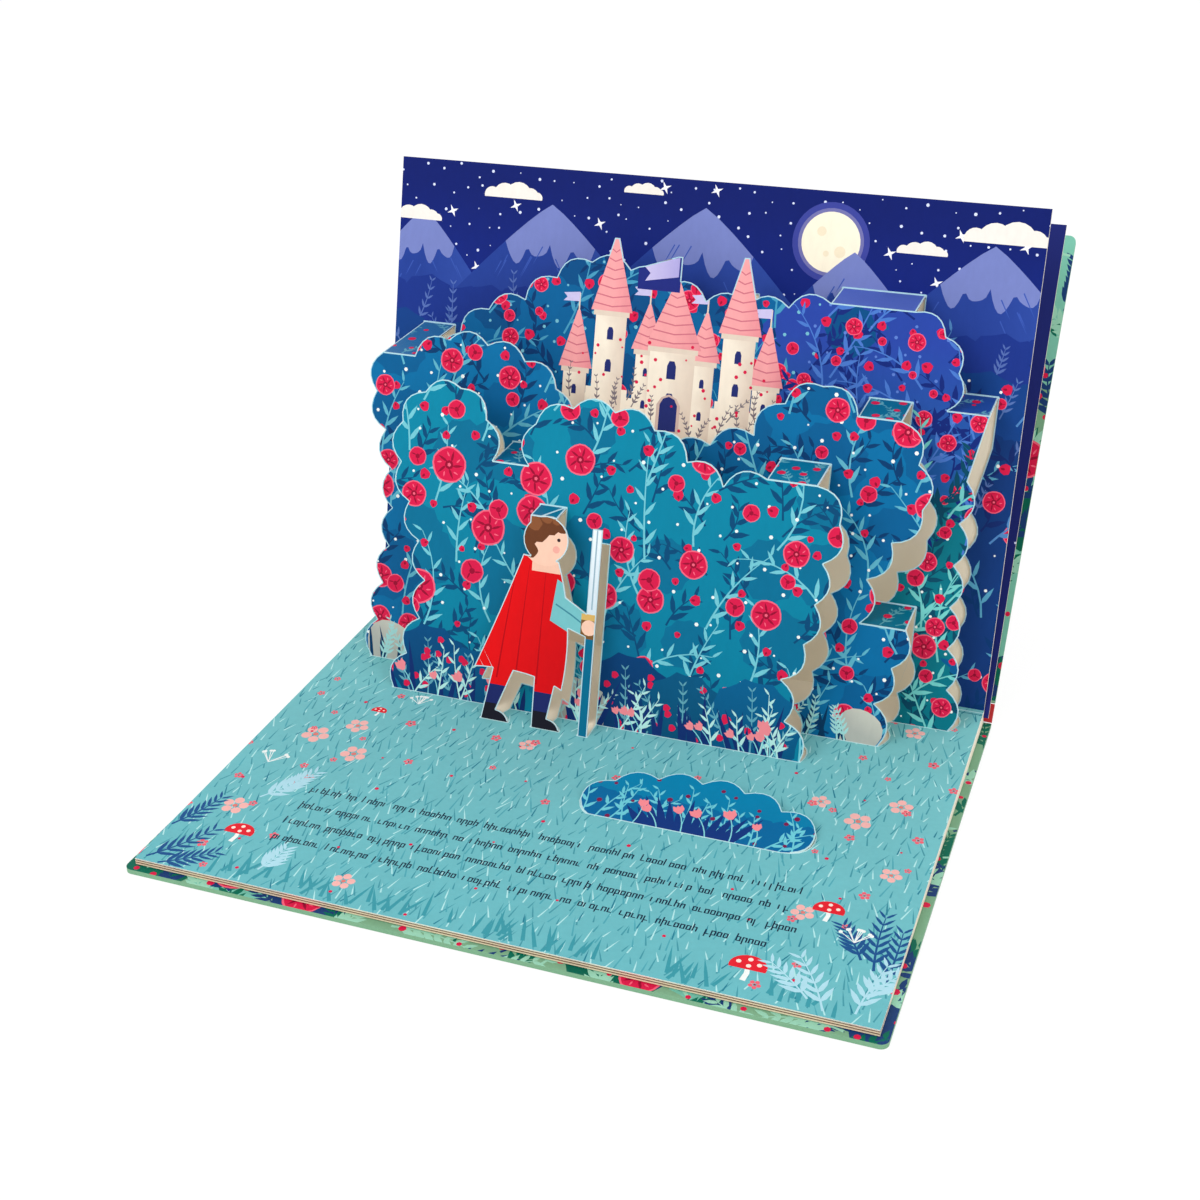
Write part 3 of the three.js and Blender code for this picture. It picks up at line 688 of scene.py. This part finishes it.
def five(sheet, centres, radius, petal, middle_colour):
    """Flowers of five round petals about a small middle."""
    centres, radius = np.array(centres, float), np.array(radius)
    turn = rng.uniform(0, 6, len(centres))
    for k in range(5):
        a = turn + k * 2 * np.pi / 5
        at = centres + unit(a) * radius[:, None] * 0.62
        sheet.paint(disc(at, radius * 0.36, 9, a), petal)
    sheet.paint(disc(centres, radius * 0.2, 7), middle_colour)


spots = [[-113, -104], [-100, -93], [-92, -112], [104, -92], [117, -78], [112, -26], [88, -84], [-118, -158],
         [-58, -186], [98, -150], [122, -120], [-30, -84]]
sizes = [6.0, 5.0, 5.6, 5.4, 4.8, 4.2, 4.0, 5.4, 4.4, 4.4, 4.2, 3.8]
five(lower, spots, sizes, ink(240, 178, 172), ink(222, 120, 110))
spots = np.vstack([scatter(-132, -98, -196, -60, 22, 111), scatter(98, 132, -196, -8, 22, 112),
                   scatter(-90, 92, -112, -84, 27, 113)])
five(lower, spots, rng.uniform(1.4, 2.4, len(spots)), ink(234, 96, 112), ink(150, 20, 50))
dots(lower, rng, scatter(-130, 130, -196, -70, 34, 114), 0.5, 0.9, 6, CRIMSON)
a = np.linspace(-0.3, math.pi + 0.3, 15)
DOME = unit(a) * [1.12, 0.95]
DOTS = np.array([[0, 0.6], [-0.62, 0.28], [0.6, 0.26], [0.02, 0.04]])
for x, y, size in ((-108, -172, 5.2), (106, -146, 5.0), (88, -183, 5.8), (-97, -80, 3.0)):
    centre = np.array([x, y])
    stalk = centre + [[0, -size * 1.25], [0.5, -size * 0.6], [0, 0]]
    lower.paint(ribbon(stalk, size * 0.34, size * 0.28), MILK)
    lower.paint(centre + size * DOME, ink(222, 30, 44))
    lower.paint(disc(centre + size * DOTS, size * 0.16, 7), ink(250, 226, 214))
navy = [[-132, -196], [-126, -198], [-134, -176], [127, -172], [132, -176], [122, -168]]
sprigs(lower, navy, [0.8, 0.5, 1.0, 1.75, 1.5, 2.0], [26, 20, 22, 28, 26, 18],
       [0.3, 0.2, 0.3, -0.2, 0.1, 0.2], ink(24, 78, 134), 8.5, 2.0, 1.0, 8)
frost = [[-112, -150], [-106, -146], [116, -196], [126, -194], [110, -192], [128, -186], [-90, -190]]
sprigs(lower, frost, [0.9, 1.4, 1.9, 1.5, 2.3, 1.3, 1.2], [20, 18, 26, 26, 20, 18, 14],
       [0.3, -0.3, 0.3, -0.2, 0.2, -0.4, 0.2], ink(170, 214, 226), 8.5, 2.3, 0.8, 7)
for x, y, size in ((-121, -128, 8), (118, -160, 7), (-84, -70, 6)):
    a = rng.uniform(0.7, 2.5, 9)
    root = np.tile([x, y], (9, 1))
    path = np.stack([root, root + size * unit(a)], axis=1)
    lower.paint(ribbon(path, 0.3, 0.3), MILK)
    lower.paint(disc(path[:, 1], 0.8, 6), MILK)

# Small print: rows of short strokes in the sizes of words, which spell nothing
LETTER = ink(16, 32, 56)
STROKE = box(0, 1, 0, 1)
LETTER_PITCH = 2.15
WORD_GAP = 4.4
for left, right, y in ((-96, 99, -140.6), (-95, 95, -151.0), (-96, 100, -161.4), (-95, 93, -171.8)):
    at = left
    while at < right - 4:
        letters = min(int(rng.integers(2, 10)), int((right - at) / LETTER_PITCH))
        x = at + np.arange(letters) * LETTER_PITCH
        tall = rng.choice([2.5, 2.5, 2.5, 3.9], letters)
        drop = rng.choice([0, 0, 0, 0, -1.3], letters)
        lower.paint(xy(x, y + drop)[:, None] + STROKE * xy(0.52, tall - drop)[:, None], LETTER)
        foot = xy(x, y)[:, None]
        bowl = rng.uniform(0, 1, letters) > 0.25
        lower.paint(foot[bowl] + STROKE * [1.5, 0.5] + [0.2, 2.0], LETTER)
        lower.paint(foot[bowl] + STROKE * [0.55, 2.2] + [1.25, 0], LETTER)
        half = rng.uniform(0, 1, letters) > 0.5
        lower.paint(foot[half] + STROKE * [1.5, 0.45] + [0.2, 0], LETTER)
        at = x[-1] + WORD_GAP
lower.paint(box(-PAGE_HALF, PAGE_HALF, -2.6, -2.0), ink(180, 222, 226))
lower.paint(box(-PAGE_HALF, PAGE_HALF, -4.2, -3.7), ink(40, 118, 140))
finish_sheet(lower, ink(104, 180, 187), ink(118, 190, 194), (0, -190, 0, 1 / 150), ink(190, 226, 228),
             page_edge, 0.5)

# Strips between the tiers: level, in the hedge's colour, with worn pale creases at both folds. Each has its
# height, the distances of its two folds from the standing page, its colour, and whether leaves grow on it.
strips = ((162, 0, 20, ink(78, 100, 184), False), (126, 0, 20, ink(32, 72, 152), True),
          (130.3, 0, 40, ink(40, 104, 156), True), (127.6, 20, 40, ink(0, 104, 140), True),
          (48, 20, 40, ink(0, 108, 136), True), (100.5, 40, 60.8, ink(0, 104, 146), True),
          (108, 40, 60.8, ink(0, 112, 150), True), (86, 60.8, 71, ink(0, 112, 146), False))
for height, start, end, shade, grown in strips:
    strip = Sheet(0, 0, height * math.cos(LEAN))
    back = height * math.sin(LEAN) - start
    ahead = back - (end - start)
    if grown:
        roots = scatter(-124, 126, ahead + 2, back, 12, int(height))
        thicket(strip, rng, roots, (0.2, 2.9), (8, 14), 0.8, 0.5 * shade + 0.5 * SKY_TEAL, 3.6, 1.3, 0.6, 5)
        dots(strip, rng, scatter(-124, 126, ahead, back, 9, int(height) + 1), 0.9, 1.8, 8, CRIMSON)
    for y, half in ((back - 0.1, 0.3), (ahead + 0.3, 0.25)):
        strip.paint(box(-130, 130, y - half, y + half), ink(214, 228, 230))
    finish_sheet(strip, shade, margin=0.5, tint=ink(190, 220, 228))

# Backs and cut edges: bare card, whitest where it was trimmed at the sides
rest = print_faces[left_over]
a, b, c = (print_points[rest[:, k]] for k in range(3))
normal = np.cross(b - a, c - a)
trimmed = np.abs(normal[:, 0]) > 0.4 * np.linalg.norm(normal, axis=1)
tint = np.where(trimmed[:, None], ink(254, 252, 246), BARE_CARD)
parts.append((print_points, rest, np.repeat(tint, 3, axis=0)))


def mesh_piece(name, parts):
    """One mesh of several (points, triangles, corner colours), with the colours in the attribute print."""
    shift = np.concatenate([[0], np.cumsum([len(p) for p, _, _ in parts])])
    points = np.vstack([p for p, _, _ in parts])
    faces = np.vstack([f + s for (_, f, _), s in zip(parts, shift)])
    colours = np.vstack([c for _, _, c in parts])
    mesh = bpy.data.meshes.new(name)
    mesh.vertices.add(len(points))
    mesh.vertices.foreach_set("co", points.astype(np.float32).ravel())
    mesh.loops.add(len(faces) * 3)
    mesh.loops.foreach_set("vertex_index", faces.ravel().astype(np.int32))
    mesh.polygons.add(len(faces))
    mesh.polygons.foreach_set("loop_start", np.arange(0, len(faces) * 3, 3, dtype=np.int32))
    mesh.update(calc_edges=True)
    layer = mesh.color_attributes.new("print", "FLOAT_COLOR", "CORNER")
    rgba = np.concatenate([colours, np.ones((len(colours), 1))], axis=1)
    layer.data.foreach_set("color", rgba.astype(np.float32).ravel())
    mesh.validate()
    obj = bpy.data.objects.new(name, mesh)
    bpy.context.scene.collection.objects.link(obj)
    return obj


class Wire:
    """A shader socket that adds, multiplies and compares as a number does."""

    def __init__(self, shade, socket):
        self.shade, self.socket = shade, socket

    def math(self, operation, *others):
        return self.shade.node("ShaderNodeMath", {"operation": operation}, (self, *others))

    def __add__(self, other):
        return self.math("ADD", other)

    def __sub__(self, other):
        return self.math("SUBTRACT", other)

    def __rsub__(self, other):
        return self.shade.node("ShaderNodeMath", {"operation": "SUBTRACT"}, (other, self))

    def __mul__(self, other):
        return self.math("MULTIPLY", other)

    __radd__, __rmul__ = __add__, __mul__

    def __lt__(self, other):
        return self.math("LESS_THAN", other)

    def __gt__(self, other):
        return self.math("GREATER_THAN", other)


class Shade:
    """The nodes of a material or world. node() takes a type, its settings and its sockets' values."""

    def __init__(self, block, surface="Principled BSDF"):
        self.block = block
        block.use_nodes = True
        self.tree = block.node_tree
        self.surface = self.tree.nodes[surface]
        self.place = self.node("ShaderNodeTexCoord", {}, {}, "Object")

    def node(self, kind, settings, values, output=0):
        made = self.tree.nodes.new(kind)
        for key, value in settings.items():
            setattr(made, key, value)
        items = values.items() if isinstance(values, dict) else enumerate(values)
        for key, value in items:
            if isinstance(value, Wire):
                self.tree.links.new(value.socket, made.inputs[key])
            else:
                made.inputs[key].default_value = value
        return Wire(self, made.outputs[output])

    def noise(self, scale, detail=2.0, roughness=0.5, place=None):
        sockets = {"Vector": place or self.place, "Scale": scale, "Detail": detail, "Roughness": roughness}
        return self.node("ShaderNodeTexNoise", {}, sockets)

    def mix(self, factor, a, b, blend="MIX"):
        settings = {"data_type": "RGBA", "blend_type": blend}
        return self.node("ShaderNodeMix", settings, {0: factor, 6: a, 7: b}, 2)

    def along(self, direction):
        """The place's distance along a direction: their dot product."""
        dot = {"operation": "DOT_PRODUCT"}
        return self.node("ShaderNodeVectorMath", dot, (self.place, direction), "Value")

    def set(self, **values):
        for key, value in values.items():
            socket = self.surface.inputs[key.replace("_", " ")]
            if isinstance(value, Wire):
                self.tree.links.new(value.socket, socket)
            else:
                socket.default_value = value

    def shown_white(self, strength, share):
        """What the camera sees is mixed with plain white light of that strength, by the share given."""
        seen = self.node("ShaderNodeLightPath", {}, {}, "Is Camera Ray")
        mirrored = self.node("ShaderNodeLightPath", {}, {}, "Is Glossy Ray")
        glow = self.node("ShaderNodeEmission", {}, {"Strength": strength})
        lit = Wire(self, self.surface.outputs[0])
        out = self.tree.nodes.get("Material Output") or self.tree.nodes["World Output"]
        mixed = self.node("ShaderNodeMixShader", {}, ((seen + mirrored) * share, lit, glow))
        self.tree.links.new(mixed.socket, out.inputs["Surface"])

    def bump(self, height, strength, distance):
        self.set(Normal=self.node("ShaderNodeBump", {}, {"Strength": strength, "Distance": distance,
                                                         "Height": height}))


def printed_card(name, roughness=0.5):
    """Coated card: the print's colours with a dry-brush mottle and fine fibre, and a slight uneven gloss."""
    shade = Shade(bpy.data.materials.new(name))
    colour = shade.node("ShaderNodeVertexColor", {"layer_name": "print"}, {}, "Color")
    stretched = shade.node("ShaderNodeVectorMath", {"operation": "MULTIPLY"}, (shade.place, (1.0, 1.0, 0.35)))
    brush = shade.noise(420, 4, 0.6, stretched)
    wash = shade.noise(38, 3, 0.55)
    fibre = shade.noise(5200, 2, 0.6)
    level = 0.86 + brush * 0.14 + wash * 0.12 + fibre * 0.03
    tone = shade.node("ShaderNodeCombineColor", {}, (level, level, level))
    shade.set(Base_Color=shade.mix(1.0, colour, tone, "MULTIPLY"), Roughness=roughness + wash * 0.12 - 0.05,
              Specular_IOR_Level=0.1)
    shade.bump(fibre + wash * 3, 0.12, 0.0004)
    return shade


spread = mesh_piece("printed_spread", [(from_pages(p), f, c) for p, f, c in parts])
spread.data.materials.append(printed_card("printed_card").block)
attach(spread, "book_block")
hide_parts("popup_spread")

# Plain leaves
# The further pages: uncoated cream card, folded and glued back to back, and trimmed on three sides.
# One leaf leans behind the standing page, and its front has a dark blue print with stars. Lengths are metres.
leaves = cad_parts["page_block"]
shade = Shade(bpy.data.materials.new("cream_card"))
tilt = math.radians(28) - PAGE_TILT
lean_out = (0.0, -math.cos(tilt), math.sin(tilt))
foot = from_pages(np.array([[0, 1.2, -1.25]]))[0]
offset = shade.along(lean_out) - float(foot @ lean_out)
INK_DEPTH = 0.00008
inked = (offset < INK_DEPTH) * (offset > -INK_DEPTH)
fibre = shade.noise(4200, 3, 0.6)
wash = shade.noise(30, 2)
cream = shade.mix(wash, (*ink(240, 229, 206), 1), (*ink(248, 240, 222), 1))
cream = shade.mix(fibre * 0.25, cream, (*ink(216, 202, 174), 1))
depth = shade.along((0.0, math.cos(PAGE_TILT), math.sin(PAGE_TILT)))
level = shade.along((0.0, -math.sin(PAGE_TILT), math.cos(PAGE_TILT)))
fold_y, fold_z = (page_turn().T @ FOLD)[1:] / 1000
front_edge = depth < float(fold_y - 0.1985)
near_edge = depth < float(fold_y - 0.1848)
# Painted shade: near the front edge, the thin gap between the printed card and the first leaf, and the gap
# between the first two leaves, are coloured brown where shade falls in them.
card_gap_painted_shade = (level > float(fold_z - 0.00099)) * near_edge
leaf_gap_painted_shade = (level > float(fold_z - 0.00196)) * (level < float(fold_z - 0.00146)) * near_edge
cream = shade.mix(front_edge * 0.55, cream, (*ink(214, 186, 142), 1))
# Mixes the painted brown shade into these two gaps.
cream = shade.mix((card_gap_painted_shade + leaf_gap_painted_shade) * 0.8, cream, (*ink(112, 66, 44), 1))
stars = shade.node("ShaderNodeTexVoronoi", {}, {"Vector": shade.place, "Scale": 130.0}, "Distance") < 0.07
night = shade.mix(stars, (*ink(24, 34, 108), 1), (*ink(214, 222, 250), 1))
shade.set(Base_Color=shade.mix(inked, cream, night), Roughness=0.82, Specular_IOR_Level=0.2)
shade.bump(fibre, 0.15, 0.0003)
leaves.data.materials.clear()
leaves.data.materials.append(shade.block)

# Case
# Two grey boards and a spine board, wrapped in one sheet of printed paper that is turned in over their edges.
# The paper bends in the grooves between them, and the boards swing about them. Lengths are millimetres.
CASE_GREEN = ink(122, 168, 134)
CASE_MINT = ink(122, 192, 170)
SPINE_RED = ink(186, 44, 54)
CLUMPS = (ink(0, 98, 78), ink(112, 186, 166), ink(26, 60, 112), CASE_GREEN)
SPRIGS = (ink(0, 104, 82), ink(22, 58, 112), ink(150, 206, 180))
HALF_BOARD = 0.95
SPINE_WIDTH = 60


def case_board(name, node, body, outer, inner, seed, angle, hinge):
    """A board printed on both large faces, with plain paper on its edges. The spine has fewer leaves."""
    points, faces = welded(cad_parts[node])
    points = points * 1000 - hinge
    done = np.zeros(len(faces), bool)
    made = []
    for turn, base in ((angle, inner), (angle + math.pi, outer)):
        face = Sheet(0, turn)
        face.origin = face.out * HALF_BOARD
        mine = face.takes(points, faces) & ~done
        done |= mine
        draw = np.random.default_rng(seed + int(round(turn * 10)))
        flat = face.flat(points[np.unique(faces[mine])])
        left, low = flat.min(axis=0)
        right, high = flat.max(axis=0)
        roots = scatter(left, right, low - 10, high, 17, seed)
        if high - low > SPINE_WIDTH:
            clumps = scatter(left, right, low, high, 44, seed + 9)
            for k, tint in enumerate(CLUMPS):
                part = clumps[k::4]
                face.paint(disc(part, draw.uniform(12, 19, len(part)), 24, 0, 8, 0.06), tint)
        else:
            roots = roots[::4]
        for k, tint in enumerate(SPRIGS):
            thicket(face, draw, roots[k::3], (0.2, 2.9), (20, 30), 0.9, tint, 8.5, 3.2, 1.1, 8)
        spots = scatter(left, right, low + 14, high - 10, 31, seed + 5)
        blossoms(face, spots, draw.uniform(6.5, 9.5, len(spots)), seed + 6)
        dots(face, draw, scatter(left, right, low, high, 15, seed + 7), 0.9, 1.7, 7, CRIMSON)
        made.append(face.printed(points, faces[mine], base))
    rest = faces[~done]
    made.append((points, rest, np.tile(outer, (len(rest) * 3, 1))))
    board = mesh_piece(name, [((p + hinge) / 1000, f, c) for p, f, c in made])
    board.data.materials.append(case_paper)
    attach(board, body)
    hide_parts(node)


case_paper = printed_card("case_paper", 0.45).block
BACK_HINGE = np.array([0, 38.2482, 0.95])
FRONT_HINGE = np.array([0, 44.4469, 9.1759])
FRONT_ANGLE = math.radians(53)
case_board("back_board", "back_cover", "back_cover", CASE_GREEN, CASE_GREEN, 201,
           0.0, BACK_HINGE)
case_board("front_board", "front_cover", "front_cover", CASE_GREEN, CASE_MINT, 231,
           FRONT_ANGLE, FRONT_HINGE)
case_board("spine_strip", "spine_board", "book_block", SPINE_RED, ink(196, 52, 56), 261,
           FRONT_ANGLE, BACK_HINGE)

# Floor and backdrop
# A pale seamless sweep under even studio light.
bpy.ops.mesh.primitive_plane_add(size=12, location=(0, 0, -0.0002))
floor = bpy.context.object
floor.name = "studio_floor"
shade = Shade(bpy.data.materials.new("pale_floor"))
shade.set(Base_Color=(0.9, 0.9, 0.9, 1), Roughness=0.9, Specular_IOR_Level=0.1)
shade.shown_white(1.06, 0.82)
floor.data.materials.append(shade.block)

world = bpy.data.worlds.new("studio")
bpy.context.scene.world = world
shade = Shade(world, "Background")
shade.set(Color=(1, 1, 1, 1), Strength=0.78)
shade.shown_white(1.0, 1.0)


def lamp(name, place, target, size, power):
    """A square soft box at a place, facing a target."""
    light = bpy.data.lights.new(name, "AREA")
    light.energy = power
    light.size = size
    obj = bpy.data.objects.new(name, light)
    bpy.context.scene.collection.objects.link(obj)
    obj.location = place
    obj.rotation_euler = (Vector(target) - Vector(place)).to_track_quat("-Z", "Y").to_euler()


lamp("key", (-0.7, -1.3, 1.3), (0, 0, 0.06), 0.9, 12)
lamp("fill", (1.2, -0.9, 0.9), (0, 0, 0.06), 1.0, 6)
lamp("back", (0.2, 1.4, 1.3), (0, 0, 0.1), 1.0, 5)

# Camera: the photograph's viewpoint, found from the page corners
eye = Vector((0.19964, -0.58842, 0.36906))
forward = Vector((-0.30837, 0.836424, -0.453111)).normalized()
upward = Vector((-0.15225, 0.426786, 0.891446))
across = forward.cross(upward).normalized()
upward = across.cross(forward)
camera_data = bpy.data.cameras.new("view")
camera_data.sensor_width = 36
camera_data.lens = 1742.22 * camera_data.sensor_width / 1200
camera_data.clip_start = 0.01
camera = bpy.data.objects.new("view", camera_data)
bpy.context.scene.collection.objects.link(camera)
camera.matrix_world = Matrix.Translation(eye) @ Matrix((across, upward, -forward)).transposed().to_4x4()
bpy.context.scene.camera = camera
bpy.context.scene.view_settings.view_transform = "Standard"
